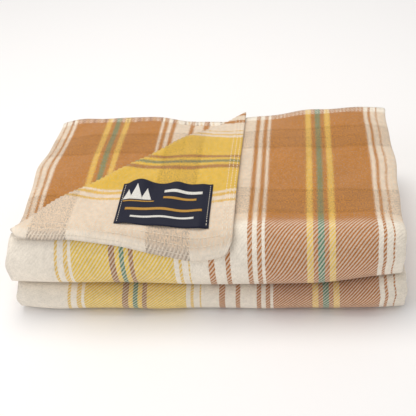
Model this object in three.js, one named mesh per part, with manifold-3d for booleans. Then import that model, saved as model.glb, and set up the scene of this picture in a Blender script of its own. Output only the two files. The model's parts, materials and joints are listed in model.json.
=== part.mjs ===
// A woollen camp blanket, folded for storage, with one corner turned back to show its woven label.
//
// The cloth is folded in four across its width, then in half along its length, and that strip of eight layers
// is laid in four passes, back and forth. So the front shows two rolls, one on the other, and the back shows
// the cut ends, the roll that joins the two halves, and the roll of the half-length fold.
//
// Millimetres, +Z up. X runs along the folded width, and -Y is the front. The origin is the middle of the base.
import * as THREE from "three";
import { mergeVertices } from "three/addons/utils/BufferGeometryUtils.js";
import Module from "manifold-3d";

const wasm = await Module();
wasm.setup();

// ---- Driving dimensions ----
const foldedWidth = 440; // a quarter of the cloth's width
const foldedDepth = 285; // front roll to back roll
const clothThickness = 3.1; // a napped wool twill, lightly pressed
const layerGap = 0.3; // air between two layers
const quarters = 4; // the cloth is folded in four across its width
const cutEndInset = 5.5; // the hemmed ends stop this short of the back
const cutEndStep = 0.5; // each layer below ends a little shorter
const halfFoldInset = 8; // the half-length fold stops this short of the back
const cornerLeg = 256; // side of the corner that is turned back
const foldClearance = 0.3; // from the diagonal fold line to the cloth on each side

const labelLength = 106;
const labelHeight = 68;
const labelThickness = 0.6;
const labelFromEndHem = 27; // from the hemmed end to the label's near side
const labelFromSideHem = 17; // from the selvedge to the label's near side
const labelTurn = 1; // degrees, as the label is sewn a little askew
const labelStitchInset = 3; // from the label's short ends and corners to its stitching

const threadWidth = 0.8;
const threadHeight = 0.4;
const threadLift = 0.25; // a thread's clear height over the cloth
const hemRows = [2.5, 7, 11.5]; // stitch rows, measured from the hemmed edge
const stitchStart = 6; // rows stop this short of a fold or an edge

// ---- How finely curves are drawn ----
const leastSteps = 3;
const halfTurnSteps = 5; // for a bend of no radius
const radiusPerStep = 2.4; // a half turn gains a step for each of these
const mergeDistance = 1e-4;
const sharpestSpread = 0.5; // holds a mitre to twice the half thickness

// ---- What follows from them ----
const layerPitch = clothThickness + layerGap;
const layers = 2 * quarters;
const passHeight = layers * layerPitch;
const halfHeight = 2 * passHeight;
const stackTop = 2 * halfHeight;
const rollRadius = passHeight;
const left = -foldedWidth / 2;
const right = foldedWidth / 2;
const front = -foldedDepth / 2;
const back = foldedDepth / 2;
const frontCentreY = front + rollRadius;
const backCentreY = back - rollRadius;
const halfFoldCentreY = back - halfFoldInset - passHeight / 2;
const cutEndY = back - cutEndInset;
const topSurface = stackTop - layerGap / 2;

// ---- Geometry helpers ----
const alongX = new THREE.Matrix4().makeBasis(
  new THREE.Vector3(0, 1, 0),
  new THREE.Vector3(0, 0, 1),
  new THREE.Vector3(1, 0, 0),
);

const radians = (degrees) => THREE.MathUtils.degToRad(degrees);

// Points on an arc in the Y-Z plane, from one angle to another, in degrees from +Y.
function arc(centreY, centreZ, radius, from, to) {
  const turn = Math.abs(to - from) / 180;
  const wanted = Math.round(turn * (halfTurnSteps + radius / radiusPerStep));
  const steps = Math.max(leastSteps, wanted);
  return Array.from({ length: steps + 1 }, (_, i) => {
    const angle = radians(from + ((to - from) * i) / steps);
    return new THREE.Vector2(
      centreY + radius * Math.cos(angle),
      centreZ + radius * Math.sin(angle),
    );
  });
}

// The closed outline of a ribbon of one thickness along a line of points. An end is cut square to the line,
// or level if it stops at the plane where the two halves part.
function ribbonOutline(points, thickness, levelStart, levelEnd) {
  const line = points.filter((p, i) => i === 0 || p.distanceTo(points[i - 1]) > mergeDistance);
  const sides = [1, -1].map((side) =>
    line.map((point, i) => {
      const before = line[Math.max(i - 1, 0)];
      const after = line[Math.min(i + 1, line.length - 1)];
      const normalIn = point.clone().sub(before).normalize();
      const normalOut = after.clone().sub(point).normalize();
      if (i === 0) normalIn.copy(normalOut);
      if (i === line.length - 1) normalOut.copy(normalIn);
      const middle = normalIn.clone().add(normalOut).normalize();
      const level = i === 0 ? levelStart : i === line.length - 1 && levelEnd;
      if (level) {
        middle.set(0, Math.sign(middle.y));
        normalIn.copy(middle);
      }
      const spread = thickness / 2 / Math.max(middle.dot(normalIn), sharpestSpread);
      return new THREE.Vector2(
        point.x - side * middle.y * spread,
        point.y + side * middle.x * spread,
      );
    }),
  );
  return new THREE.Shape([...sides[0], ...sides[1].reverse()]);
}

// A layer of cloth that follows a line in the Y-Z plane and runs the whole folded width.
function ribbon(points, levelStart) {
  const outline = ribbonOutline(points, clothThickness, levelStart, true);
  const geometry = new THREE.ExtrudeGeometry(outline, {
    depth: foldedWidth,
    bevelEnabled: false,
  });
  return geometry.applyMatrix4(alongX).translate(left, 0, 0);
}

// A flat plate with a polygon outline in X-Y, from a base height.
function plate(corners, baseZ, thickness) {
  const outline = new THREE.Shape(corners.map(([x, y]) => new THREE.Vector2(x, y)));
  const geometry = new THREE.ExtrudeGeometry(outline, {
    depth: thickness,
    bevelEnabled: false,
  });
  return geometry.translate(0, 0, baseZ);
}

function toSolid(geometry) {
  const bare = geometry.clone();
  bare.deleteAttribute("normal");
  bare.deleteAttribute("uv");
  const merged = mergeVertices(bare, mergeDistance);
  return new wasm.Manifold(
    new wasm.Mesh({
      numProp: 3,
      vertProperties: new Float32Array(merged.attributes.position.array),
      triVerts: new Uint32Array(merged.index.array),
    }),
  );
}

function toGeometry(solid) {
  const mesh = solid.getMesh();
  const geometry = new THREE.BufferGeometry();
  geometry.setAttribute("position", new THREE.BufferAttribute(mesh.vertProperties, 3));
  geometry.setIndex(new THREE.BufferAttribute(mesh.triVerts, 1));
  geometry.computeVertexNormals();
  return geometry;
}

// ---- Materials ----
const cloth = new THREE.MeshStandardMaterial({ color: 0xb98a5e, roughness: 0.95, metalness: 0 });
const paleCloth = new THREE.MeshStandardMaterial({ color: 0xe6d8c4, roughness: 0.95, metalness: 0 });
const labelSatin = new THREE.MeshStandardMaterial({ color: 0x272a3c, roughness: 0.6, metalness: 0 });
const thread = new THREE.MeshStandardMaterial({ color: 0xefe6d6, roughness: 0.8, metalness: 0 });

// Heights are worked out from half a gap below the lowest layer, so each piece is let down by that much.
function node(name, geometry, material) {
  const mesh = new THREE.Mesh(geometry.translate(0, 0, -layerGap / 2), material);
  mesh.name = name;
  return mesh;
}

// ---- The folded layers ----
// How far the middle of quarter q's layer lies inside the face that it is nearest to.
const inset = (q) => (q - 0.5) * layerPitch;
// The rolled ends stop half a gap short of the plane where the two halves part.
const endAngle = (radius) => THREE.MathUtils.radToDeg(Math.asin(layerGap / 2 / radius));

function lowerQuarter(q) {
  const outer = rollRadius - inset(q);
  const inner = inset(q);
  const halfFold = passHeight / 2 - inset(q);
  return ribbon(
    [
      ...arc(backCentreY, halfHeight, inner, -endAngle(inner), -90),
      ...arc(frontCentreY, passHeight, outer, 90, 270),
      ...arc(halfFoldCentreY, passHeight / 2, halfFold, -90, 90),
      ...arc(frontCentreY, passHeight, inner, 270, 90),
      ...arc(backCentreY, halfHeight, outer, -90, -endAngle(outer)),
    ],
    true,
  );
}

function upperQuarter(layer) {
  const inFront = rollRadius - inset(layer);
  const atBack = inset(layer);
  const endY = cutEndY - (layer - 1) * cutEndStep;
  return ribbon(
    [
      new THREE.Vector2(endY, halfHeight + passHeight + inFront),
      ...arc(frontCentreY, halfHeight + passHeight, inFront, 90, 270),
      ...arc(backCentreY, halfHeight, atBack, 90, endAngle(atBack)),
    ],
    false,
  );
}

// ---- The turned corner ----
const diagonalFront = new THREE.Vector2(left, cutEndY - cornerLeg);
const diagonalBack = new THREE.Vector2(left + cornerLeg, cutEndY);
const along = diagonalBack.clone().sub(diagonalFront).normalize();
const acrossFold = new THREE.Vector2(along.y, -along.x); // from the fold line towards the turned corner
const cornerPoint = new THREE.Vector2(diagonalBack.x, diagonalFront.y);
const cornerBase = topSurface + layerGap;
const cornerTop = cornerBase + clothThickness;

// The cutter is a triangle that takes the corner out of the top layer, with room round its outer sides.
function topLayer() {
  const spare = clothThickness;
  const start = diagonalFront.clone().addScaledVector(along, -spare);
  const end = diagonalBack.clone().addScaledVector(along, spare);
  start.addScaledVector(acrossFold, foldClearance);
  end.addScaledVector(acrossFold, foldClearance);
  const cutter = plate(
    [[start.x, start.y], [end.x, end.y], [start.x, end.y]],
    topSurface - clothThickness - layerGap / 2,
    clothThickness + layerGap,
  );
  return toGeometry(toSolid(upperQuarter(1)).subtract(toSolid(cutter)));
}

function turnedCorner() {
  const legShare = foldClearance * Math.SQRT2;
  return plate(
    [
      [diagonalFront.x + legShare, diagonalFront.y],
      [cornerPoint.x, cornerPoint.y],
      [diagonalBack.x, diagonalBack.y - legShare],
    ],
    cornerBase,
    clothThickness,
  );
}

// A straight row of stitching on the turned corner, between two points.
function threadRow(from, to) {
  const direction = to.clone().sub(from).normalize();
  const side = new THREE.Vector2(-direction.y, direction.x).multiplyScalar(threadWidth / 2);
  const corners = [
    from.clone().sub(side),
    to.clone().sub(side),
    to.clone().add(side),
    from.clone().add(side),
  ];
  return plate(
    corners.map((p) => [p.x, p.y]),
    cornerTop + threadLift,
    threadHeight,
  );
}

function sideHemRow(rowInset) {
  const y = cornerPoint.y + rowInset;
  return threadRow(
    new THREE.Vector2(left + rowInset + stitchStart * Math.SQRT2, y),
    new THREE.Vector2(cornerPoint.x - hemRows[hemRows.length - 1] - threadWidth * 2, y),
  );
}

function endHemRow(rowInset) {
  const x = cornerPoint.x - rowInset;
  return threadRow(
    new THREE.Vector2(x, cornerPoint.y + threadWidth * 2),
    new THREE.Vector2(x, cutEndY - rowInset - stitchStart * Math.SQRT2),
  );
}

// Rows along the hemmed end of a layer that stays flat. The second layer shows where the corner is turned.
function flatEndRow(rowInset, fromX, toX, surfaceZ) {
  const y = cutEndY - rowInset;
  return plate(
    [
      [fromX, y - threadWidth / 2],
      [toX, y - threadWidth / 2],
      [toX, y + threadWidth / 2],
      [fromX, y + threadWidth / 2],
    ],
    surfaceZ + threadLift,
    threadHeight,
  );
}

// ---- The label, sewn on the turned corner along its two short ends ----
const labelCentre = new THREE.Vector2(
  cornerPoint.x - labelFromEndHem - labelLength / 2,
  cornerPoint.y + labelFromSideHem + labelHeight / 2,
);
const labelBase = cornerTop + threadLift;

function onLabel(geometry) {
  return geometry.rotateZ(radians(labelTurn)).translate(labelCentre.x, labelCentre.y, 0);
}

function label() {
  const x = labelLength / 2;
  const y = labelHeight / 2;
  return onLabel(plate([[-x, -y], [x, -y], [x, y], [-x, y]], labelBase, labelThickness));
}

function labelStitch(side) {
  const x = side * (labelLength / 2 - labelStitchInset);
  const y = labelHeight / 2 - labelStitchInset;
  const half = threadWidth / 2;
  return onLabel(
    plate(
      [[x - half, -y], [x + half, -y], [x + half, y], [x - half, y]],
      labelBase + labelThickness + threadLift,
      threadHeight,
    ),
  );
}

// ---- Assembly ----
const lowerHalf = new THREE.Group();
const upperHalf = new THREE.Group();
const corner = new THREE.Group();

for (let q = 1; q <= quarters; q++) {
  lowerHalf.add(node(`lower_quarter_${q}`, lowerQuarter(q), q % 2 ? cloth : paleCloth));
  const facing = q === 1 ? topLayer() : upperQuarter(q);
  upperHalf.add(node(`upper_face_quarter_${q}`, facing, q % 2 ? cloth : paleCloth));
  upperHalf.add(
    node(`upper_lining_quarter_${q}`, upperQuarter(layers + 1 - q), q % 2 ? cloth : paleCloth),
  );
}

corner.add(node("turned_corner", turnedCorner(), cloth));

hemRows.forEach((rowInset, i) => {
  const row = i + 1;
  const secondSurface = topSurface - layerPitch;
  const clearOfFold = rowInset + stitchStart * Math.SQRT2;
  const topFromX = diagonalBack.x + stitchStart;
  corner.add(node(`corner_side_stitch_${row}`, sideHemRow(rowInset), thread));
  corner.add(node(`corner_end_stitch_${row}`, endHemRow(rowInset), thread));
  upperHalf.add(
    node(
      `top_end_stitch_${row}`,
      flatEndRow(rowInset, topFromX, right - stitchStart, topSurface),
      thread,
    ),
  );
  upperHalf.add(
    node(
      `second_end_stitch_${row}`,
      flatEndRow(rowInset, left + stitchStart, diagonalBack.x - clearOfFold, secondSurface),
      thread,
    ),
  );
});

corner.add(node("woven_label", label(), labelSatin));
corner.add(node("label_stitch_inner", labelStitch(-1), thread));
corner.add(node("label_stitch_outer", labelStitch(1), thread));

const blanket = new THREE.Group();
blanket.add(lowerHalf, upperHalf, corner);

export default blanket;
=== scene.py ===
import json
import math

import bmesh
import bpy
import numpy as np
from mathutils import Matrix, Vector


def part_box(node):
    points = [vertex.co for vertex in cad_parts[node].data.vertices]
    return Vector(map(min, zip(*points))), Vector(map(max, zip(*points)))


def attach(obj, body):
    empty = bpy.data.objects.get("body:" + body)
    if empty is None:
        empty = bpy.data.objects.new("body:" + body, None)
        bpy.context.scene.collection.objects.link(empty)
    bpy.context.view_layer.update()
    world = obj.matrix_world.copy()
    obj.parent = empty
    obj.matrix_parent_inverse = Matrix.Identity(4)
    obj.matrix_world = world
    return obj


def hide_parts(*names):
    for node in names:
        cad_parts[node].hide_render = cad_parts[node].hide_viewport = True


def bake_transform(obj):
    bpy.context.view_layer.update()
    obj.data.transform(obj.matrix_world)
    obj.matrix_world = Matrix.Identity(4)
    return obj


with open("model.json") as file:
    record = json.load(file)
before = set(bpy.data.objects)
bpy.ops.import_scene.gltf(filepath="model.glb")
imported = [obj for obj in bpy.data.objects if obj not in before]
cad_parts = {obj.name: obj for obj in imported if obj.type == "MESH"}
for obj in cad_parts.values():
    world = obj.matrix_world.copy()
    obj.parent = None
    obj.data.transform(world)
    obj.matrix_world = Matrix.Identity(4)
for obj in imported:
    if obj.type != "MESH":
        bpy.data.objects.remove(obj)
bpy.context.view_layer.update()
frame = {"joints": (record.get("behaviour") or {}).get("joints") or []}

# ---- Sizes, in metres, taken from the CAD frame ----
GAP = 0.0003  # air between two layers
QUARTERS = 4  # folded in four across the width
FIRST_ROW_TO_EDGE = 0.0021
HALF_FOLD_INSET = 0.008  # the half-length fold stops this short of the back
UPPER_1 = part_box("upper_face_quarter_1")
LOWER_1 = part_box("lower_quarter_1")
WIDTH = UPPER_1[1].x - UPPER_1[0].x
TOP = UPPER_1[1].z
LAYERS = 2 * QUARTERS  # in the strip, once it is folded in half along its length too
PASSES = 4  # the strip then lies over itself in this many passes
PITCH = (TOP + GAP) / (PASSES * LAYERS)
THICK = PITCH - GAP
PASS = LAYERS * PITCH
FRONT = LOWER_1[0].y - GAP / 2
BACK = LOWER_1[1].y + GAP / 2
FRONT_C = FRONT + PASS
BACK_C = BACK - PASS
HALF_FOLD_C = BACK - HALF_FOLD_INSET - PASS / 2
CUT_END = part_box("top_end_stitch_1")[1].y + FIRST_ROW_TO_EDGE
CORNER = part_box("turned_corner")
LEG = CORNER[1].x + WIDTH / 2
MIDDLE = 2 * PASS
JOINTS = {j["name"]: j for j in frame["joints"]}
AXIS_Z = JOINTS["corner_unfold"]["pos_m"][2]


def smooth(low, high, x):
    """0 below low, 1 above high, with an even turn between."""
    f = np.clip((x - low) / (high - low), 0, 1)
    return f * f * (3 - 2 * f)


def bell(x, centre, width):
    return np.exp(-(((x - centre) / width) ** 2))


def ripples(waves, a, b):
    """The sum of waves, each (height, wavelength along a, wavelength along b, phase in turns)."""
    return sum(
        height * np.sin(2 * np.pi * (a / along_a + b / along_b + phase))
        for height, along_a, along_b, phase in waves
    )


# ---- The path the folded strip takes, in the Y-Z plane ----
# Each stretch is (centre y from, to, centre z, angle from, to, radius at no offset, radius per unit of offset).
# An offset is the distance of a layer's middle from the strip's face side.
FIRST = [
    (CUT_END, FRONT_C, PASSES * PASS, -90, -90, 0, 1),
    (FRONT_C, FRONT_C, 3 * PASS, 90, 270, PASS, -1),
    (FRONT_C, BACK_C, MIDDLE, 90, 90, 0, 1),
    (BACK_C, BACK_C, MIDDLE, 90, -90, 0, 1),
    (BACK_C, FRONT_C, MIDDLE, -90, -90, 0, 1),
    (FRONT_C, FRONT_C, PASS, 90, 270, PASS, -1),
    (FRONT_C, HALF_FOLD_C, 0, 90, 90, 0, 1),
]
HALF_FOLD = (HALF_FOLD_C, HALF_FOLD_C, PASS / 2, -90, 90, PASS / 2, -1)


def returned(stretch):
    """The way back along the other half of the strip, which lies against this one."""
    y0, y1, z, a0, a1, r0, per = stretch
    return (y1, y0, z, a1, a0, r0 + per * PASS, -per)


STRETCHES = FIRST + [HALF_FOLD] + [returned(s) for s in reversed(FIRST)]


def stretch_length(stretch):
    y0, y1, _, a0, a1, r0, per = stretch
    return abs(y1 - y0) + math.radians(abs(a1 - a0)) * abs(r0 + per * PITCH / 2)


LENGTHS = np.array([stretch_length(s) for s in STRETCHES])
KNOTS = np.concatenate([[0], np.cumsum(LENGTHS)])
TABLE = np.array(STRETCHES)


def path(t, offset):
    """y and z of the middle of the cloth at length t along the strip, this far from its face side."""
    i = np.clip(np.searchsorted(KNOTS, t, side="right") - 1, 0, len(STRETCHES) - 1)
    f = (t - KNOTS[i]) / LENGTHS[i]
    y0, y1, z, a0, a1, r0, per = TABLE[i].T
    angle = np.radians(a0 + (a1 - a0) * f)
    r = r0 + per * offset
    return y0 + (y1 - y0) * f + r * np.cos(angle), z + r * np.sin(angle)


# ---- The serpentine the four quarters take across the width ----
SIDE_INSETS = (0.0012, 0.0026, 0.0008)  # each side fold stops a little short of the CAD's side
EDGE_INSET = 0.001  # and so do the sheet's two long edges
SIDE_BULGE = 0.75  # how far a side fold bulges, in layer pitches
BEND = math.pi * PITCH / 2
BEND_STEPS = 12


def serpentine():
    """Lengths across the sheet, and the x and the depth in the strip that the sheet has there."""
    knots, xs, offsets = [0.0], [-WIDTH / 2 + EDGE_INSET], [PITCH / 2]
    for q in range(1, QUARTERS + 1):
        side = 1 if q % 2 else -1
        last = q == QUARTERS
        reach = side * (WIDTH / 2 - (EDGE_INSET if last else PITCH + SIDE_INSETS[q - 1]))
        knots.append(knots[-1] + abs(reach - xs[-1]))
        xs.append(reach)
        offsets.append((q - 0.5) * PITCH)
        if last:
            break
        for a in np.radians(np.linspace(-90, 90, BEND_STEPS + 1)[1:]):
            knots.append(knots[-1] + BEND / BEND_STEPS)
            xs.append(reach + side * PITCH * SIDE_BULGE * math.cos(a))
            offsets.append(q * PITCH + PITCH / 2 * math.sin(a))
    return np.array(knots), np.array(xs), np.array(offsets)


S_KNOTS, S_X, S_OFFSET = serpentine()
SHEET_WIDTH = float(S_KNOTS[-1])
KNOTS_PER_QUARTER = BEND_STEPS + 1
INNER_START = 0.03  # how far past the second side fold the inner pieces start
TWO_QUARTERS = float(S_KNOTS[2 * KNOTS_PER_QUARTER]) + INNER_START


# ---- How the pile settles: one gentle field for every layer, so that the layers stay in order ----
DIMPLE_HEIGHT, DIMPLE_ACROSS, DIMPLE_ALONG = 0.0019, (0.23, 0.15), (0.29, 0.35)  # wavelength, phase
TOP_RIPPLES = [(0.0010, 0.11, 0.17, 0.2), (0.0005, 0.061, -0.083, 0.0)]
ROLL_RIPPLES = [(0.0018, 0.31, 2.0, 0.1), (0.0009, 0.13, 1 / 1.5, 0.0)]
BACK_RIPPLES = [(0.0014, 0.27, 1.0, 0.0)]
SIDE_RIPPLES = [(0.0010, 0.16, 1 / 1.7, 0.0), (0.0006, 0.07, 1 / 4.3, 0.4)]
SIDE_TUCK = 0.0006
FRONT_REACH = (FRONT_C - 0.004, 0.03)  # y over which the front rolls' own shape dies away
BACK_REACH = (BACK_C - 0.05, BACK_C + 0.01)
END_REACH = (-0.02, CUT_END)  # y over which the shape of the open end comes in
TIP_REACH = (-0.07, 0.03)
PARTING_REACH = (0.001, 0.02)  # distance from the plane where the halves part
SIDE_REACH = (0.72, 1.0)  # share of the half width
SIDE_FALL, SIDE_FALL_POWER = 0.006, 7
HOLLOW_DEPTH, HOLLOW_X, HOLLOW_WIDTH, HOLLOW_REACH = 0.0065, 0.02, 0.085, (0.05, CUT_END)
RIGHT_RISE, RIGHT_RISE_REACH = 0.0085, (0.62, 1.0)
RIGHT_TAUT, RIGHT_TAUT_REACH = 0.45, (0.55, 1.0)
SAG = 0.0195  # the slack upper roll sags this much over the lower one, which is pressed flatter
SAG_EXTRA, SAG_EXTRA_AT, SAG_EXTRA_WIDTH = 0.25, 0.1, 0.5
PRESS_WHOLE, PRESS_ROUNDING = 1.005, 0.1  # the pressing dies away smoothly at the parting plane
BASE_SHARE, BASE_FALL = 0.5, 0.4
ROLL_END_IN, ROLL_END_POWER, ROLL_TOP_OUT = 0.007, 9, 0.002
LOWER_SHIFT = (0.0078, -0.0022, -0.0052)  # the lower half lies to the right: even, linear and square parts
SHIFT_FADE_FRONT, SHIFT_FADE_BACK = 0.004, 0.02
TOP_LEFT_IN, TIP_IN, TOP_RIGHT_IN = 0.005, 0.005, 0.003
LEFT_BULGE, RIGHT_BULGE, BULGE_POWER = 0.0045, 0.003, 8
FLOOR_ROOM = 0.00015


def settle(p):
    """Where the points of a neatly squared pile lie once it has slumped."""
    x, y, z = p[:, 0].copy(), p[:, 1].copy(), p[:, 2].copy()
    u, h = x / (WIDTH / 2), np.clip(z / TOP, 0, 1.1)
    to_left, to_right = np.clip(-u, 0, 1), np.clip(u, 0, 1)
    front = 1 - smooth(*FRONT_REACH, y)
    back = smooth(*BACK_REACH, y)
    end = smooth(*END_REACH, y)
    parting = smooth(*PARTING_REACH, np.abs(z - MIDDLE))
    top = smooth(MIDDLE, TOP, z)
    base = np.sin(np.pi * np.clip(z / MIDDLE, 0, 1))
    swell = ripples(TOP_RIPPLES, x, y) + (
        DIMPLE_HEIGHT
        * np.sin(2 * np.pi * (x / DIMPLE_ACROSS[0] + DIMPLE_ACROSS[1]))
        * np.sin(2 * np.pi * (y / DIMPLE_ALONG[0] + DIMPLE_ALONG[1]))
    )
    rounded = SIDE_FALL * np.abs(np.clip(u, -1, 1)) ** SIDE_FALL_POWER
    hollow = HOLLOW_DEPTH * bell(x, HOLLOW_X, HOLLOW_WIDTH) * smooth(*HOLLOW_REACH, y)
    raised = RIGHT_RISE * smooth(*RIGHT_RISE_REACH, u) * end
    dz = top * (swell - rounded - hollow + raised) + base * BASE_SHARE * (swell - BASE_FALL * rounded)
    dz *= parting
    # The upper roll sags, and the lower half is pressed evenly between it and the ground
    slack = 1 + SAG_EXTRA * bell(u, SAG_EXTRA_AT, SAG_EXTRA_WIDTH) - RIGHT_TAUT * smooth(*RIGHT_TAUT_REACH, u)
    rising = np.clip((z - PITCH / 2) / (MIDDLE - PITCH / 2), 0, 1)
    left_over = np.sqrt((1 - rising) ** 2 + PRESS_ROUNDING**2)
    pressed = (PRESS_WHOLE - left_over) / (PRESS_WHOLE - PRESS_ROUNDING)
    dz -= SAG * front * slack * np.where(z < MIDDLE, pressed, np.sin(np.pi * np.clip(h, 0, 1)))
    roll = np.abs(np.sin(np.pi * np.clip(z / MIDDLE, 0, 2)))
    turned_in = ROLL_END_IN * np.abs(np.clip(u, -1, 1)) ** ROLL_END_POWER
    dy = front * roll * (ripples(ROLL_RIPPLES, x, h) + turned_in - ROLL_TOP_OUT * top)
    dy += back * ripples(BACK_RIPPLES, x, h)
    fade = SHIFT_FADE_FRONT + SHIFT_FADE_BACK * back
    below = 1 - smooth(-1, 1, (z - MIDDLE) / fade)
    even, linear_part, square = LOWER_SHIFT
    edge = smooth(*SIDE_REACH, np.abs(u)) * np.sign(u)
    dx = below * (even + linear_part * u + square * u * u) - edge * (SIDE_TUCK + ripples(SIDE_RIPPLES, y, h))
    dx += TOP_LEFT_IN * to_left**2 * end * top
    dx += TIP_IN * to_left**3 * (1 - smooth(*TIP_REACH, y)) * top**4
    dx -= LEFT_BULGE * to_left**BULGE_POWER * front * (1 - top**4)
    dx += RIGHT_BULGE * to_right**BULGE_POWER * front * below
    dx -= TOP_RIGHT_IN * to_right**2 * end * top
    return np.stack([x + dx, y + dy, z + dz - FLOOR_ROOM], axis=1)


CUT_RIPPLES = [(0.0009, 0.09, math.tau / 400, 0.0)]
CUT_REACH = 0.05  # how far from a cut end its unevenness reaches
CUT_STEP = 0.0012  # each layer ends this much short of the one over it
CUT_EVEN = 0.001  # and all of them stop this much short
CUT_DIP, CUT_DIP_X, CUT_DIP_WIDTH = 0.008, -0.02, 0.08  # the top layers' end curves in here


def on_strip(s, t, lift=0.0):
    """Where a point of the cloth lies once folded. s runs across the cloth and t along it."""
    x = np.interp(s, S_KNOTS, S_X)
    offset = np.interp(s, S_KNOTS, S_OFFSET) - lift
    y, z = path(t, offset)
    dip = CUT_DIP * bell(x, CUT_DIP_X, CUT_DIP_WIDTH) * (1 - smooth(0, QUARTERS * PITCH, offset))
    wave = ripples(CUT_RIPPLES, x, offset) - CUT_STEP * offset / PITCH - dip
    near_end = 1 - smooth(0, CUT_REACH, np.minimum(t, KNOTS[-1] - t))
    return settle(np.stack([x, y + near_end * (wave - CUT_EVEN), z], axis=1))


# ---- The turned corner lies on the top layer, face down, and follows it over the front roll ----
CORNER_MID = 0.0037  # the turned cloth's middle over the top layer's middle, away from the fold
TOP_MID = TOP + GAP / 2 - PITCH / 2
FOLD_R = AXIS_Z + GAP / 2 - TOP_MID
STRIP = math.pi * FOLD_R  # the cloth that goes round the fold
FOLD_FADE = 0.022
HEM = 0.0125
HEM_EXTRA, HEM_EDGE = 0.0006, (HEM - 0.0012, HEM + 0.0008)
CORNER_ROUND, CORNER_NIP = 0.014, 0.0041  # the very corner is rounded
CORNER_RIPPLES = [(0.0008, 0.17, 0.31, 0.0)]
CORNER_RIPPLE_LIFT, CORNER_RIPPLE_REACH = 0.0008, (0.01, 0.06)
PULL_POWER, PULL_LEAST = 1.4, 0.01
# How far the side hem is drawn down over the roll, at these shares of its length from its tip
HEM_AT = np.linspace(0, LEG, 33)
HEM_DROP = np.interp(
    HEM_AT,
    np.array([0, 0.18, 0.35, 0.48, 0.62, 0.78, 0.9, 1.0]) * LEG,
    [0.009, 0.0125, 0.0165, 0.0185, 0.0215, 0.0285, 0.0285, 0.021],
)
HEM_BLUR = 7
HEM_DROP = np.convolve(np.pad(HEM_DROP, HEM_BLUR // 2, "edge"), np.ones(HEM_BLUR) / HEM_BLUR, "valid")


def on_corner(a, b, lift=0.0):
    """a is the distance from the pile's left side and b from its back end; the fold is where a + b = LEG."""
    corner_a, corner_b = (np.clip(1 - (LEG - c) / CORNER_ROUND, 0, 1) for c in (a, b))
    nip = CORNER_NIP * (corner_a * corner_b) ** 2
    a, b = a - nip, b - nip
    d = (a + b - LEG) / math.sqrt(2)
    in_fold = d < 0
    angle = np.pi / 2 + np.pi * np.clip(-d / STRIP, 0, 1)
    away = np.clip(d, 0, None)
    rise = (2 * FOLD_R - CORNER_MID) * (1 - smooth(0.0, FOLD_FADE, away)) + CORNER_MID
    wave = CORNER_RIPPLE_LIFT + ripples(CORNER_RIPPLES, a, b)
    rise += wave * smooth(*CORNER_RIPPLE_REACH, away)
    hem = sum(1 - smooth(*HEM_EDGE, LEG - c) for c in (a, b))
    rise += HEM_EXTRA * np.clip(hem, 0, 1)
    shift = np.where(in_fold, FOLD_R * np.cos(angle), 0.0) / math.sqrt(2)
    base_a, base_b = (np.where(in_fold, c - d / math.sqrt(2), c) + shift for c in (a, b))
    up = np.where(in_fold, FOLD_R + FOLD_R * np.sin(angle), rise) + lift
    # The loose corner is drawn down over the front roll, and its hem waves
    pull = np.clip(away * math.sqrt(2) / np.clip(a, PULL_LEAST, None), 0, 1) ** PULL_POWER
    drawn = np.interp(a, HEM_AT, HEM_DROP) * pull
    y, z = path(base_b + drawn, PITCH / 2 - up)
    return settle(np.stack([base_a - WIDTH / 2, y, z], axis=1))


# ---- Meshes ----
def spaced(lo, hi, step, marks=()):
    """Grid lines from lo to hi, about a step apart, and closer in each (from, to, spacing) of marks."""
    edges = {lo, hi}
    for m0, m1, _ in marks:
        edges.update(e for e in (m0, m1) if lo < e < hi)
    edges = sorted(edges)
    lines = [lo]
    for e0, e1 in zip(edges, edges[1:]):
        mid = (e0 + e1) / 2
        near = [m[2] for m in marks if m[0] <= mid <= m[1]]
        n = max(1, round((e1 - e0) / (min(near) if near else step)))
        lines += [e0 + (e1 - e0) * (i + 1) / n for i in range(n)]
    return lines


def grid_piece(name, a_lines, b_lines, place, cut=None, sheet_uv=None, nap=None):
    """A grid laid flat at the given lines, cut if asked, then moved to its place."""
    bm = bmesh.new()
    bmesh.ops.create_grid(bm, x_segments=len(a_lines) - 1, y_segments=len(b_lines) - 1, size=0.5)
    na, nb = len(a_lines) - 1, len(b_lines) - 1
    for v in bm.verts:
        i, j = round((v.co.x + 0.5) * na), round((v.co.y + 0.5) * nb)
        v.co = Vector((a_lines[i], b_lines[j], 0))
    if cut:
        geometry = bm.verts[:] + bm.edges[:] + bm.faces[:]
        bmesh.ops.bisect_plane(
            bm, geom=geometry, dist=1e-6, plane_co=cut[0], plane_no=cut[1], clear_inner=True
        )
    mesh = bpy.data.meshes.new(name)
    bm.to_mesh(mesh)
    bm.free()
    flat = np.zeros(len(mesh.vertices) * 3)
    mesh.vertices.foreach_get("co", flat)
    flat = flat.reshape(-1, 3)
    a, b = flat[:, 0], flat[:, 1]
    s, t = sheet_uv(a, b) if sheet_uv else (a, b)
    loops = np.zeros(len(mesh.loops), int)
    mesh.loops.foreach_get("vertex_index", loops)
    layer = mesh.uv_layers.new(name="Sheet")
    layer.data.foreach_set("uv", np.stack([s[loops], t[loops]], axis=1).ravel())
    if nap is not None:
        attribute = mesh.attributes.new("nap", "FLOAT", "POINT")
        attribute.data.foreach_set("value", nap(a, b).astype(np.float32))
    mesh.vertices.foreach_set("co", place(a, b).ravel())
    mesh.polygons.foreach_set("use_smooth", [True] * len(mesh.polygons))
    mesh.update()
    obj = bpy.data.objects.new(name, mesh)
    bpy.context.scene.collection.objects.link(obj)
    return obj


def thicken(obj, thickness):
    """Thickness to both sides of a surface, with its edges closed."""
    solid = obj.modifiers.new("Thickness", "SOLIDIFY")
    solid.thickness = thickness
    solid.offset = 0.0
    solid.use_rim = True
    solid.use_even_offset = False


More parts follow.
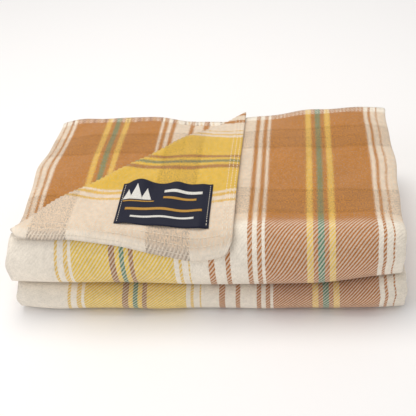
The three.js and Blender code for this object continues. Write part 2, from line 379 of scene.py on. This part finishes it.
# ---- Materials ----
def linear(code):
    """A hex sRGB colour as linear RGBA."""
    values = [int(code[i : i + 2], 16) / 255 for i in (0, 2, 4)]
    return (*[v / 12.92 if v < 0.04045 else ((v + 0.055) / 1.055) ** 2.4 for v in values], 1)


def material(name):
    """A new material and its empty node tree."""
    mat = bpy.data.materials.new(name)
    mat.use_nodes = True
    tree = mat.node_tree
    tree.nodes.clear()
    return mat, tree


def add(tree, kind, inputs=None, **settings):
    """A node with its settings, its values and its links."""
    made = tree.nodes.new("ShaderNode" + kind)
    for key, value in settings.items():
        setattr(made, key, value)
    for key, value in (inputs or {}).items():
        socket = made.inputs[key]
        if isinstance(value, bpy.types.NodeSocket):
            tree.links.new(value, socket)
        else:
            socket.default_value = value
    return made


def maths(tree, operation, *values):
    return add(tree, "Math", dict(enumerate(values)), operation=operation).outputs[0]


def mix(tree, factor, first, second, blend="MIX"):
    return add(
        tree, "Mix", {0: factor, 6: first, 7: second}, data_type="RGBA", blend_type=blend
    ).outputs[2]


def noise(tree, vector, scale, detail):
    """Soft noise about 0.5, with this many lumps to the metre."""
    return add(tree, "TexNoise", {"Vector": vector, "Scale": scale, "Detail": detail}).outputs[0]


def remap(tree, value, span, target):
    """The value carried from one range to another."""
    return add(tree, "MapRange", dict(enumerate((value, *span, *target)))).outputs[0]


def grey(tree, tone):
    """A grey for multiplying a colour by."""
    return add(tree, "CombineColor", {0: tone, 1: tone, 2: tone}).outputs[0]


def bands(tree, along, stops):
    """A constant ramp: each (start, hex colour) holds up to the next start."""
    ramp = add(tree, "ValToRGB", {0: along})
    ramp.color_ramp.interpolation = "CONSTANT"
    elements = ramp.color_ramp.elements
    elements[0].position, elements[0].color = stops[0][0], linear(stops[0][1])
    elements[1].position, elements[1].color = stops[1][0], linear(stops[1][1])
    for start, code in stops[2:]:
        elements.new(start).color = linear(code)
    return ramp.outputs[0]


UNDYED, GOLD, LEAF, MADDER, UMBER = "F2E8D8", "E8C23E", "4C7A5C", "9C6836", "B06A22"
STRAW, TAWNY = "E6BE58", "BA8434"
# The stripes across one quarter's width, as shares of it. UMBER fills the broad brown block.
SETT_NEAR = [
    (0, UNDYED), (0.125, STRAW), (0.1325, UNDYED), (0.145, STRAW), (0.157, UNDYED),
    (0.165, GOLD), (0.265, MADDER), (0.278, GOLD), (0.29, LEAF), (0.303, GOLD),
    (0.315, MADDER), (0.328, GOLD), (0.427, UNDYED), (0.44, STRAW), (0.448, UNDYED),
    (0.4625, STRAW), (0.4675, UNDYED),
]
SETT_FAR = [
    (0.5, UNDYED), (0.515, UMBER), (0.5275, UNDYED), (0.5575, UMBER), (0.57, UNDYED),
    (0.6125, UMBER), (0.6225, UNDYED), (0.635, UMBER), (0.6475, UNDYED), (0.655, UMBER),
    (0.7575, STRAW), (0.7725, UMBER), (0.7825, LEAF), (0.8, UMBER), (0.8125, STRAW),
    (0.825, UMBER), (0.9275, UNDYED), (0.94, UMBER), (0.9475, UNDYED), (0.9625, UMBER),
    (0.9675, UNDYED),
]
# Grey weft bands cross the cloth's length, each with dark lines at its sides and in its middle
SLATE, TAUPE = "6A5A4E", "907A68"
BAND_CENTRE, BAND_WIDTH, BAND_PITCH = 0.0715, 0.048, 0.137
BAND_SHARE = BAND_WIDTH / BAND_PITCH
BAND_LINES = (0.11, 0.47, 0.53, 0.89)
BANDS_BEFORE = 10  # keeps the phase above 0
TWILL_PITCH = 0.0043  # between two twill lines, along the cloth's width
YARN_STRAY, NAP_STRAY = 0.002, 0.008  # how far yarns, and then brushed fibres, wander
TWILL_WANDER, TWILL_SWING, TWILL_LEAST = 0.5, 0.92, 0.04
WARP_COVER, NAP_COVER, FLECK_COVER, BAND_COVER = 0.7, 0.22, 1.3, 0.21
PATCH_OFFSET = 0.35
HAZE = ((0.36, 0.64), (0.08, 0.42))
SPECKLE = ((0.34, 0.66), (-0.2, 0.15))
SPECKLE_FIRM, SPECKLE_NAP = 0.35, 0.5
TUFTS, CLOUDS = ((0.3, 0.7), (0.93, 1.06)), ((0.3, 0.7), (0.95, 1.04))
RIDGE_SHARE, FUZZ_SHARE = 0.35, 1.2


def wool_twill():
    """Napped two-and-two wool twill: the striped warp and the undyed, grey-banded weft each show about half, in
    steep diagonal lines, under a short brushed nap that blurs them and catches the light at grazing angles."""
    mat, tree = material("Napped wool twill, piece-woven stripes")

    def plus(*values):
        return maths(tree, "ADD", *values)

    def minus(*values):
        return maths(tree, "SUBTRACT", *values)

    def times(*values):
        return maths(tree, "MULTIPLY", *values)

    uv = add(tree, "UVMap", uv_map="Sheet").outputs[0]
    split = add(tree, "SeparateXYZ", {0: uv}).outputs
    s, t = split[0], split[1]
    place = add(tree, "TexCoord").outputs["Object"]
    nap = add(tree, "Attribute", attribute_name="nap").outputs["Fac"]
    # Threads wander, so the stripes have soft edges, and softer ones where the cloth is brushed
    wander = noise(tree, uv, 1000.0, 2.0)
    stray = times(minus(wander, 0.5), plus(times(nap, NAP_STRAY), YARN_STRAY))
    across = maths(tree, "FRACT", maths(tree, "DIVIDE", plus(s, stray), WIDTH))
    far_half = maths(tree, "GREATER_THAN", across, 0.5)
    warp = mix(tree, far_half, bands(tree, across, SETT_NEAR), bands(tree, across, SETT_FAR))
    start = BAND_CENTRE - BAND_WIDTH / 2 - BANDS_BEFORE * BAND_PITCH
    along = maths(tree, "FRACT", maths(tree, "DIVIDE", minus(plus(t, stray), start), BAND_PITCH))
    lines = zip(BAND_LINES, (TAUPE, SLATE, TAUPE, SLATE))
    stops = [(0, SLATE), *((at * BAND_SHARE, code) for at, code in lines), (BAND_SHARE, UNDYED)]
    weft = bands(tree, along, stops)
    # Twill lines, which the brushing fades unevenly
    slant = maths(tree, "DIVIDE", plus(s, t), TWILL_PITCH)
    diagonal = maths(tree, "FRACT", plus(slant, times(wander, TWILL_WANDER)))
    wave = maths(tree, "ABSOLUTE", minus(times(diagonal, 2.0), 1.0))
    brushed = times(nap, plus(noise(tree, uv, 55.0, 3.0), PATCH_OFFSET))
    contrast = maths(tree, "MAXIMUM", minus(1.0, brushed), TWILL_LEAST)
    swing = times(minus(wave, 0.5), contrast)
    # Brushing draws the warp over the weft, and less so where the weft is the thicker grey yarn
    fleck = noise(tree, uv, 560.0, 4.0)
    strays = times(minus(fleck, 0.5), nap)
    cover = plus(plus(WARP_COVER, times(nap, NAP_COVER)), times(strays, FLECK_COVER))
    banded = maths(tree, "LESS_THAN", along, BAND_SHARE)
    cover = minus(cover, times(banded, BAND_COVER))
    shown = add(tree, "Clamp", {0: plus(times(swing, TWILL_SWING), cover)}).outputs[0]
    woven = mix(tree, shown, weft, warp)
    # Brushed fibres of every colour lie over one another, as a thin tawny haze
    woven = mix(tree, times(remap(tree, fleck, *HAZE), nap), woven, linear(TAWNY))
    # Fibres lie unevenly: soft lighter and darker patches, and a fine fleck
    rough = plus(SPECKLE_FIRM, times(nap, SPECKLE_NAP))
    tone = plus(1.0, times(remap(tree, fleck, *SPECKLE), rough))
    tone = times(tone, remap(tree, noise(tree, uv, 170.0, 3.0), *TUFTS))
    tone = times(tone, remap(tree, noise(tree, uv, 28.0, 4.0), *CLOUDS))
    colour = mix(tree, 1.0, woven, grey(tree, tone), "MULTIPLY")
    # The height of the twill ridges and of the nap
    ridge = times(maths(tree, "SINE", times(diagonal, math.tau)), contrast)
    fuzz = noise(tree, place, 700.0, 3.0)
    pile = plus(times(ridge, RIDGE_SHARE), times(fuzz, FUZZ_SHARE))
    bump = add(tree, "Bump", {"Strength": 0.55, "Distance": 0.0007, "Height": pile}).outputs[0]
    shader = add(
        tree,
        "BsdfPrincipled",
        {
            "Base Color": colour, "Roughness": 0.92, "Normal": bump, "Sheen Weight": 0.25,
            "Sheen Roughness": 0.5, "Specular IOR Level": 0.15,
        },
    )
    add(tree, "OutputMaterial", {"Surface": shader.outputs[0]})
    return mat


def sewing_thread(name, code):
    """Two-ply spun polyester thread: a soft gloss and faint slanting plies."""
    mat, tree = material(name)
    place = add(tree, "TexCoord").outputs["Object"]
    ply = noise(tree, place, 900.0, 2.0)
    bump = add(tree, "Bump", {"Strength": 0.4, "Distance": 0.0003, "Height": ply}).outputs[0]
    shader = add(
        tree,
        "BsdfPrincipled",
        {"Base Color": linear(code), "Roughness": 0.6, "Normal": bump, "Sheen Weight": 0.1},
    )
    add(tree, "OutputMaterial", {"Surface": shader.outputs[0]})
    return mat


RIB_PITCH, RIB_SHARE = 0.0011, 0.4
GRAIN = ((0.3, 0.7), (0.8, 1.2))


def woven_ribbon(name, code, ridge):
    """Damask-woven polyester ribbon: fine cross ribs and the low, broad gloss of satin floats."""
    mat, tree = material(name)
    uv = add(tree, "UVMap", uv_map="Sheet").outputs[0]
    split = add(tree, "SeparateXYZ", {0: uv}).outputs
    rib = maths(tree, "SINE", maths(tree, "MULTIPLY", split[1], math.tau / RIB_PITCH))
    grain = noise(tree, uv, 900.0, 2.0)
    tone = remap(tree, grain, *GRAIN)
    colour = mix(tree, 1.0, linear(code), grey(tree, tone), "MULTIPLY")
    height = maths(tree, "ADD", maths(tree, "MULTIPLY", rib, RIB_SHARE), grain)
    bump = add(tree, "Bump", {"Strength": ridge, "Distance": 0.0002, "Height": height}).outputs[0]
    shader = add(
        tree,
        "BsdfPrincipled",
        {"Base Color": colour, "Roughness": 0.6, "Normal": bump, "Specular IOR Level": 0.25},
    )
    add(tree, "OutputMaterial", {"Surface": shader.outputs[0]})
    return mat


WOOL = wool_twill()
CREAM_THREAD = sewing_thread("Spun polyester thread, undyed", "EADFCB")
BROWN_THREAD = sewing_thread("Spun polyester thread, brown", "7A4E2C")
STRAW_THREAD = sewing_thread("Spun polyester thread, straw", "CFA24E")
NAVY = woven_ribbon("Damask ribbon, navy satin ground", "0F1228", 0.5)
WHITE_FIGURE = woven_ribbon("Damask ribbon, white figure", "D9D6CF", 0.6)
OCHRE_FIGURE = woven_ribbon("Damask ribbon, ochre figure", "B98B3A", 0.6)


def dress(obj, mat):
    obj.data.materials.append(mat)
    return obj


# ---- The cloth, in lengths that meet inside the pile or bend across its back roll ----
BACK_LEAD = 0.045  # how far each back-roll piece reaches into the flat passes
T_UPPER = float(KNOTS[3]) - BACK_LEAD
T_LOWER = float(KNOTS[4]) + BACK_LEAD
T_LOWER_END = float(KNOTS[11]) - BACK_LEAD
T_UPPER_END = float(KNOTS[12]) + BACK_LEAD
T_END = float(KNOTS[-1])
OUTER = (0.0, TWO_QUARTERS)
INNER = (TWO_QUARTERS, SHEET_WIDTH)
TIGHT_TURN = 0.03  # a turn along less cloth than this is tight
ROLL_STEP, TIGHT_STEP, BACK_TIGHT_STEP = 0.0032, 0.001, 0.00022  # between lines across a turn
SIDE_BEND_STEP = BEND / 8


def side_bends(step):
    """The stretches across the width where a side fold turns, with the spacing of lines wanted there."""
    marks = []
    for q in range(1, QUARTERS):
        begin = S_KNOTS[1 + (q - 1) * KNOTS_PER_QUARTER]
        marks.append((float(begin), float(begin + BEND), step))
    return marks


def end_bends(roll_step, tight_step):
    """The stretches along the length where the strip turns, with the spacing of lines wanted there."""
    marks = []
    for i, stretch in enumerate(STRETCHES):
        if stretch[3] != stretch[4]:
            wanted = tight_step if LENGTHS[i] < TIGHT_TURN else roll_step
            marks.append((float(KNOTS[i]), float(KNOTS[i + 1]), wanted))
    return marks


# How far the cloth is brushed: 0 is firm, and the turned corner is rubbed least along its side
NAP_FLAT, NAP_SIDE, NAP_RISE = 1.25, 0.4, 0.014
HEM_NAP = (HEM - 0.003, HEM + 0.002)
SIDE_NAP = (0.003, 0.008)


def napped(a, b):
    """Brushed and rubbed on the flat passes, firm over the rolls and along the hemmed ends."""
    i = np.clip(np.searchsorted(KNOTS, b, side="right") - 1, 0, len(STRETCHES) - 1)
    flat = TABLE[i][:, 3] == TABLE[i][:, 4]
    before = np.where(i == 0, 1.0, b - KNOTS[i])
    after = np.where(i == len(STRETCHES) - 1, 1.0, KNOTS[i + 1] - b)
    brushed = smooth(0, NAP_RISE, np.minimum(before, after))
    hem = smooth(*HEM_NAP, np.minimum(b, KNOTS[-1] - b))
    return np.where(flat, NAP_FLAT * brushed * hem, 0.0)


def cloth(name, s_range, t_range, step, cut):
    tight_step = BACK_TIGHT_STEP if "back" in name else TIGHT_STEP
    s_lines = spaced(*s_range, step, side_bends(SIDE_BEND_STEP))
    t_lines = spaced(*t_range, step, end_bends(min(step, ROLL_STEP), tight_step))
    obj = grid_piece(name, s_lines, t_lines, on_strip, cut=cut, nap=napped)
    thicken(obj, THICK)
    return dress(obj, WOOL)


FINE, COARSE = 0.0048, 0.012
DIAGONAL = Vector((1, 1, 0)).normalized()
CUT_LINE = (Vector((LEG, 0, 0)), DIAGONAL)
# Name, stretch across and along, spacing of lines, the body it rides or, for a piece fixed where it lies, a
# number that is not used, and cut
PARTS = [
    ("plaid_top_outer", OUTER, (0.0, T_UPPER), FINE, "upper_half", CUT_LINE),
    ("plaid_top_inner", INNER, (0.0, T_UPPER), COARSE, "upper_half", None),
    ("plaid_base_outer", OUTER, (T_LOWER, T_LOWER_END), 0.0075, "lower_half", None),
    ("plaid_base_inner", INNER, (T_LOWER, T_LOWER_END), COARSE, "lower_half", None),
    ("plaid_lining_outer", OUTER, (T_UPPER_END, T_END), 0.008, "upper_half", None),
    ("plaid_lining_inner", INNER, (T_UPPER_END, T_END), COARSE, "upper_half", None),
    ("plaid_back_near_outer", OUTER, (T_UPPER, T_LOWER), 0.009, 0.0012, None),
    ("plaid_back_near_inner", INNER, (T_UPPER, T_LOWER), COARSE, 0.006, None),
    ("plaid_back_far_inner", INNER, (T_LOWER_END, T_UPPER_END), COARSE, 0.012, None),
    ("plaid_back_far_outer", OUTER, (T_LOWER_END, T_UPPER_END), 0.006, 0.018, None),
]
for name, s_range, t_range, step, held_by, cut in PARTS:
    piece = cloth(name, s_range, t_range, step, cut)
    if isinstance(held_by, str):
        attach(piece, held_by)
    else:
        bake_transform(piece)

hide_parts("upper_face_quarter_1", "upper_face_quarter_2")
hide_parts("upper_face_quarter_3", "upper_face_quarter_4")
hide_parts("upper_lining_quarter_1", "upper_lining_quarter_2")
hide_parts("upper_lining_quarter_3", "upper_lining_quarter_4")
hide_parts("lower_quarter_1", "lower_quarter_2")
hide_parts("lower_quarter_3", "lower_quarter_4")

# ---- The turned corner ----
CORNER_STEP, CORNER_HEM_STEP, CORNER_HEM = 0.0046, 0.0012, 0.016
CORNER_THICK = THICK * 0.92  # the turn draws the cloth a little thinner
BEYOND_FOLD = STRIP * math.sqrt(2)
corner_lines = spaced(0.0, LEG, CORNER_STEP, [(LEG - CORNER_HEM, LEG, CORNER_HEM_STEP)])
corner = grid_piece(
    "turned_corner_cloth",
    corner_lines,
    corner_lines,
    on_corner,
    cut=(Vector((LEG - BEYOND_FOLD, 0, 0)), DIAGONAL),
    sheet_uv=lambda a, b: (LEG - b, LEG - a),
    nap=lambda a, b: NAP_SIDE + (NAP_FLAT - NAP_SIDE) * smooth(*SIDE_NAP, LEG - b),
)
thicken(corner, CORNER_THICK)
dress(corner, WOOL)
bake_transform(corner)
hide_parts("turned_corner")


# ---- Stitching: each stitch is a short thread that dips into the cloth at both ends ----
STITCH_WIDTH, STITCH_SHARE = 0.0009, 0.68  # a stitch shows along this share of its step
STITCH_LOW = 0.42  # half a thread's height, as a share of its width


def stitches(name, points, normals, mats, body, nodes, width=STITCH_WIDTH, share=STITCH_SHARE):
    """Threads from each point to the next, in the given materials by turns."""
    bm = bmesh.new()
    for n, (p, q) in enumerate(zip(points, points[1:])):
        along = (q - p) * share
        middle = (p + q) / 2
        up = normals[n]
        right = along.cross(up).normalized()
        up = right.cross(along).normalized()
        turn = Matrix((along.normalized(), right, up)).transposed().to_4x4()
        size = Matrix.Diagonal((along.length / 2, width / 2, width * STITCH_LOW, 1))
        place = Matrix.Translation(middle) @ turn @ size
        made_now = bmesh.ops.create_uvsphere(bm, u_segments=8, v_segments=6, radius=1, matrix=place)
        faces = {f for v in made_now["verts"] for f in v.link_faces}
        for f in faces:
            f.smooth = True
            f.material_index = n % len(mats)
    mesh = bpy.data.meshes.new(name)
    bm.to_mesh(mesh)
    bm.free()
    obj = bpy.data.objects.new(name, mesh)
    bpy.context.scene.collection.objects.link(obj)
    for m in mats:
        mesh.materials.append(m)
    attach(obj, body)
    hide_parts(*nodes)
    return obj


def surface(place, a, b, lift):
    """Points and outward normals on a placed surface."""
    a, b = np.asarray(a, float), np.asarray(b, float)
    low, high = place(a, b, lift), place(a, b, lift + 0.001)
    return [Vector(v) for v in low], [Vector(v).normalized() for v in high - low]


def seam_row(name, place, start, end, spacing, lift, body, nodes, mats=(CREAM_THREAD,), **look):
    """A straight row of stitches on a placed surface, with a whole number of them from start to end."""
    count = max(2, round(math.dist(start, end) / spacing))
    f = np.linspace(0, 1, count + 1)
    a = start[0] + (end[0] - start[0]) * f
    b = start[1] + (end[1] - start[1]) * f
    points, normals = surface(place, a, b, lift)
    return stitches(name, points, normals, mats, body, nodes, **look)


def second_layer(a, b, lift=0.0):
    """A point on the second layer, by its distance from the pile's left side and from its back end."""
    flat = slice(KNOTS_PER_QUARTER, KNOTS_PER_QUARTER + 2)
    s = np.interp(-(np.asarray(a) - WIDTH / 2), -S_X[flat], S_KNOTS[flat])
    return on_strip(s, np.asarray(b, float), lift)


# Rows of topstitching by the hemmed end and the side, each stopping short of the next edge or fold
HEM_ROWS = (0.0025, 0.0070, 0.0115)
HEM_STITCH, SIDE_STITCH = 0.0052, 0.0046
FOLD_CLEAR, SIDE_CLEAR, TIP_CLEAR, ROUND_CLEAR, END_CLEAR = 0.006, 0.010, 0.004, 0.014, 0.012
FINE_WIDTH, SIDE_SHARE = 0.0007, 0.8
THREAD_RISE = 0.0001  # a thread's middle line lies this far above the cloth
CLOTH_FACE, CORNER_FACE = THICK / 2, CORNER_THICK / 2
for i, inset in enumerate(HEM_ROWS, 1):
    seam_row(
        f"corner_end_row_{i}", on_corner, (LEG - inset, inset + FOLD_CLEAR), (LEG - inset, LEG - TIP_CLEAR),
        HEM_STITCH, CORNER_FACE + THREAD_RISE, "corner_flap", [f"corner_end_stitch_{i}"],
    )
    seam_row(
        f"corner_side_row_{i}", on_corner, (inset + SIDE_CLEAR, LEG - inset), (LEG - ROUND_CLEAR, LEG - inset),
        SIDE_STITCH, CORNER_FACE, "corner_flap", [f"corner_side_stitch_{i}"],
        width=FINE_WIDTH, share=SIDE_SHARE,
    )
    seam_row(
        f"top_end_row_{i}", on_strip, (LEG + END_CLEAR, inset), (WIDTH - END_CLEAR, inset),
        HEM_STITCH, CLOTH_FACE + THREAD_RISE, "upper_half", [f"top_end_stitch_{i}"],
    )
    seam_row(
        f"second_end_row_{i}", second_layer, (END_CLEAR, inset), (LEG - inset - END_CLEAR, inset),
        HEM_STITCH, CLOTH_FACE + THREAD_RISE, "upper_half", [f"second_end_stitch_{i}"],
        mats=(CREAM_THREAD, BROWN_THREAD, STRAW_THREAD),
    )

# ---- The label ----
LABEL_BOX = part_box("woven_label")
LABEL_L, LABEL_H = 0.106, 0.068
LABEL_TURN = math.radians(1)
LABEL_SEAT = CORNER_FACE + 0.0007
# Between its sewn ends the ribbon stands off the cloth, most at two humps along its top edge
SEWN_END = (LABEL_L / 2 - 0.012, LABEL_L / 2 - 0.002)
TOP_RISE, HUMPS = 0.0048, ((-0.03, 0.012, 1.0), (0.012, 0.01, 0.9))
FOOT_RISE, FOOT_WAVE = 0.0008, 0.05
PUFF, PUFF_WAVE, PUFF_PHASE, LEAST_RISE = 0.0005, 0.04, 0.2, 0.0006
LABEL_A = (LABEL_BOX[0].x + LABEL_BOX[1].x) / 2 + WIDTH / 2
LABEL_B = CUT_END - (LABEL_BOX[0].y + LABEL_BOX[1].y) / 2


def on_label(u, v, lift=0.0):
    """A point of the label: u along it and v up it, from its middle."""
    u, v = np.asarray(u, float), np.asarray(v, float)
    c, sn = math.cos(LABEL_TURN), math.sin(LABEL_TURN)
    a = LABEL_A + u * c - v * sn
    b = LABEL_B - (u * sn + v * c)
    top_edge = smooth(0.0, LABEL_H / 2, v)
    hump = sum(size * bell(u, centre, width) for centre, width, size in HUMPS)
    foot = smooth(0.0, LABEL_H / 2, -v) * FOOT_RISE * np.cos(2 * np.pi * u / FOOT_WAVE)
    free = 1 - smooth(*SEWN_END, np.abs(u))
    puff = PUFF * (1 + np.sin(2 * np.pi * (u / PUFF_WAVE + PUFF_PHASE)))
    rise = free * (top_edge * TOP_RISE * hump + foot + LEAST_RISE + puff)
    return on_corner(a, b, LABEL_SEAT + rise + lift)


RIBBON_THICK, FIGURE_THICK = 0.0006, 0.0002
FIGURE_LIFT = 0.00042  # from the ribbon's middle to a figure's, so the figure's back is inside the ribbon
LABEL_STEP = 0.0016


def patch(name, us, vs, mat, thickness, lift, shape=None):
    """A small woven area on the label; shape narrows each row of it."""

    def place(u, v):
        middle = sum(us) / 2
        narrow = shape((v - vs[0]) / (vs[1] - vs[0])) if shape else 1.0
        return on_label(middle + (u - middle) * narrow, v, lift)

    columns, rows = (
        list(np.linspace(low, high, max(2, round((high - low) / LABEL_STEP)) + 1)) for low, high in (us, vs)
    )
    obj = grid_piece(name, columns, rows, place)
    thicken(obj, thickness)
    dress(obj, mat)
    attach(obj, "corner_flap")
    return obj


HALF_L, HALF_H = LABEL_L / 2, LABEL_H / 2
label = patch("label_ribbon", (-HALF_L, HALF_L), (-HALF_H, HALF_H), NAVY, RIBBON_THICK, 0.0)
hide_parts("woven_label")


def figure(name, us, vs, mat, shape=None):
    patch(name, us, vs, mat, FIGURE_THICK, FIGURE_LIFT, shape)


def pine_shape(f):
    """A pine narrows evenly, to a blunt tip."""
    return np.clip(1 - f, 0.03, 1)


# A row of three pines over plain bars, woven in as figures
PINE_HALF, PINE_HEIGHT, PINE_FOOT = 0.008, 0.022, 0.004
for i, (u, size) in enumerate([(-0.034, 1.0), (-0.022, 0.78), (-0.044, 0.7)], 1):
    half, height = PINE_HALF * size, PINE_HEIGHT * size
    figure(f"pine_{i}", (u - half, u + half), (PINE_FOOT, PINE_FOOT + height), WHITE_FIGURE, pine_shape)
BARS = [
    ("ground_line", (-0.049, -0.012), (0.0005, 0.0022), OCHRE_FIGURE),
    ("bar_wide", (-0.002, 0.042), (0.0165, 0.021), WHITE_FIGURE),
    ("bar_mid", (-0.002, 0.036), (0.006, 0.0095), OCHRE_FIGURE),
    ("bar_low", (-0.044, 0.044), (-0.0135, -0.0095), OCHRE_FIGURE),
    ("bar_foot", (-0.036, 0.036), (-0.0255, -0.0225), WHITE_FIGURE),
]
for bar in BARS:
    figure(*bar)

LABEL_STITCH, LABEL_THREAD_RISE = 0.0034, 0.0004
LABEL_SEAM = HALF_L - 0.0028
LABEL_SEAM_END = HALF_H - 0.002
for side, word in ((-1, "inner"), (1, "outer")):
    u = side * LABEL_SEAM
    seam_row(
        f"label_row_{word}", on_label, (u, -LABEL_SEAM_END), (u, LABEL_SEAM_END), LABEL_STITCH,
        LABEL_THREAD_RISE, "corner_flap", [f"label_stitch_{word}"], width=FINE_WIDTH,
    )

# ---- The stage: a plain pale floor, soft light and the camera ----
FLOOR_SIZE, FLOOR_DROP = 6, 0.0004
bpy.ops.mesh.primitive_plane_add(size=FLOOR_SIZE, location=(0, 0, -FLOOR_DROP))
floor = bpy.context.object
floor.name = "floor"
# Matt paper: a soft white with no gloss, so the blanket's shadow is all that shows on it
floor_mat, floor_tree = material("Matt white paper sweep")
floor_shader = add(floor_tree, "BsdfPrincipled", {"Base Color": linear("FBFAFA"), "Roughness": 0.9})
add(floor_tree, "OutputMaterial", {"Surface": floor_shader.outputs[0]})
floor.data.materials.append(floor_mat)
LIT = Vector((0, 0, 0.05))  # both lamps face the middle of the pile


def area_light(name, position, size, power, code):
    data = bpy.data.lights.new(name, "AREA")
    data.shape, data.size, data.energy = "DISK", size, power
    data.color = linear(code)[:3]
    light = bpy.data.objects.new(name, data)
    light.location = position
    light.rotation_euler = (LIT - Vector(position)).to_track_quat("-Z", "Y").to_euler()
    bpy.context.scene.collection.objects.link(light)
    return light


key = area_light("key", (-0.25, 0.25, 1.6), 1.1, 13.5, "FFFAF3")
fill = area_light("fill", (-1.0, -0.9, 0.9), 1.0, 3.8, "F8F8FF")
world = bpy.data.worlds.new("studio")
bpy.context.scene.world = world
world.use_nodes = True
background = world.node_tree.nodes["Background"]
background.inputs["Color"].default_value = linear("FBFBFB")
background.inputs["Strength"].default_value = 0.6
bpy.context.scene.view_settings.view_transform = "Standard"

PITCH_DOWN, YAW, ROLL = (math.radians(angle) for angle in (34.38, -7.99, -5.27))
CAMERA_AT = (0.1204, -0.9066, 0.6755)
SENSOR = 36
FOCAL_SHARE = 900 / 416  # focal length as a share of the picture's width
forward = Vector((
    math.sin(YAW) * math.cos(PITCH_DOWN),
    math.cos(YAW) * math.cos(PITCH_DOWN),
    -math.sin(PITCH_DOWN),
))
level = Vector((math.cos(YAW), -math.sin(YAW), 0))
upward = level.cross(forward)
right = level * math.cos(ROLL) + upward * math.sin(ROLL)
above = upward * math.cos(ROLL) - level * math.sin(ROLL)
camera_data = bpy.data.cameras.new("camera")
camera_data.sensor_width, camera_data.lens = SENSOR, SENSOR * FOCAL_SHARE
camera = bpy.data.objects.new("camera", camera_data)
turn = Matrix((right, above, -forward)).transposed().to_4x4()
camera.matrix_world = Matrix.Translation(CAMERA_AT) @ turn
bpy.context.scene.collection.objects.link(camera)
bpy.context.scene.camera = camera
